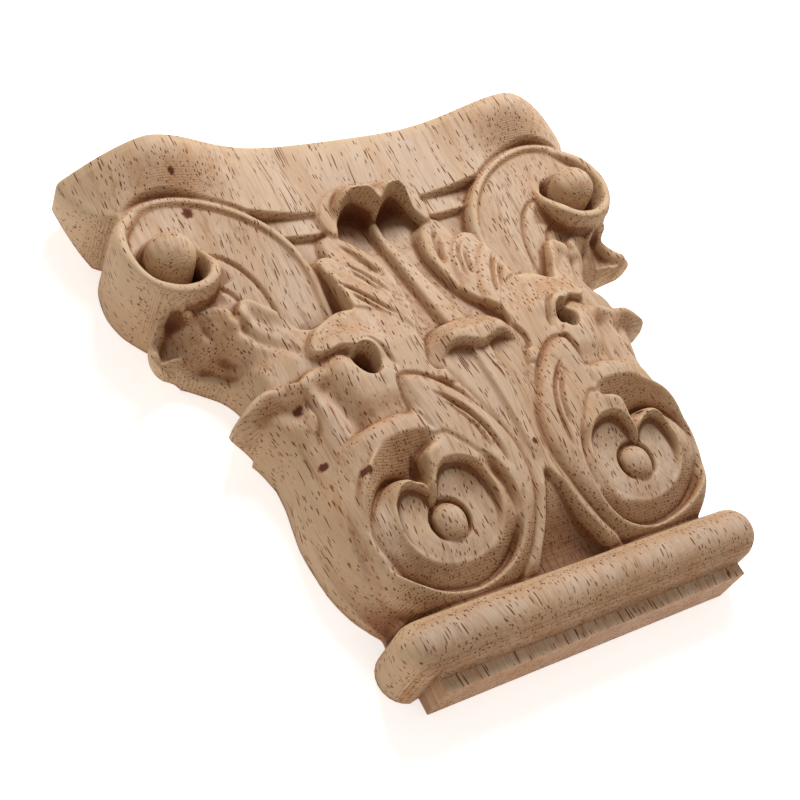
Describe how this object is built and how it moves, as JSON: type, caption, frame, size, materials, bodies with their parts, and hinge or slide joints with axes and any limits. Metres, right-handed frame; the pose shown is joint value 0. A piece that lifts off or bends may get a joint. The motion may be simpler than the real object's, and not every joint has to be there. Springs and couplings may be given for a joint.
{
  "type": "carved corner applique",
  "caption": "Small carved wooden capital onlay, flat behind, with scrolled horns, curled leaves, two spirals, a round rod and a fillet.",
  "frame": {"origin": "centre of the flat back", "axes": "+X across the face to the right, +Y up the face from the fillet to the slab, +Z out of the carved front"},
  "size_m": [0.1224, 0.12, 0.0236],
  "materials": {
    "wood": "unfinished, fine cutter lines, open pores"
  },
  "bodies": {
    "root": {"carved_capital": "wood"}
  },
  "joints": []
}
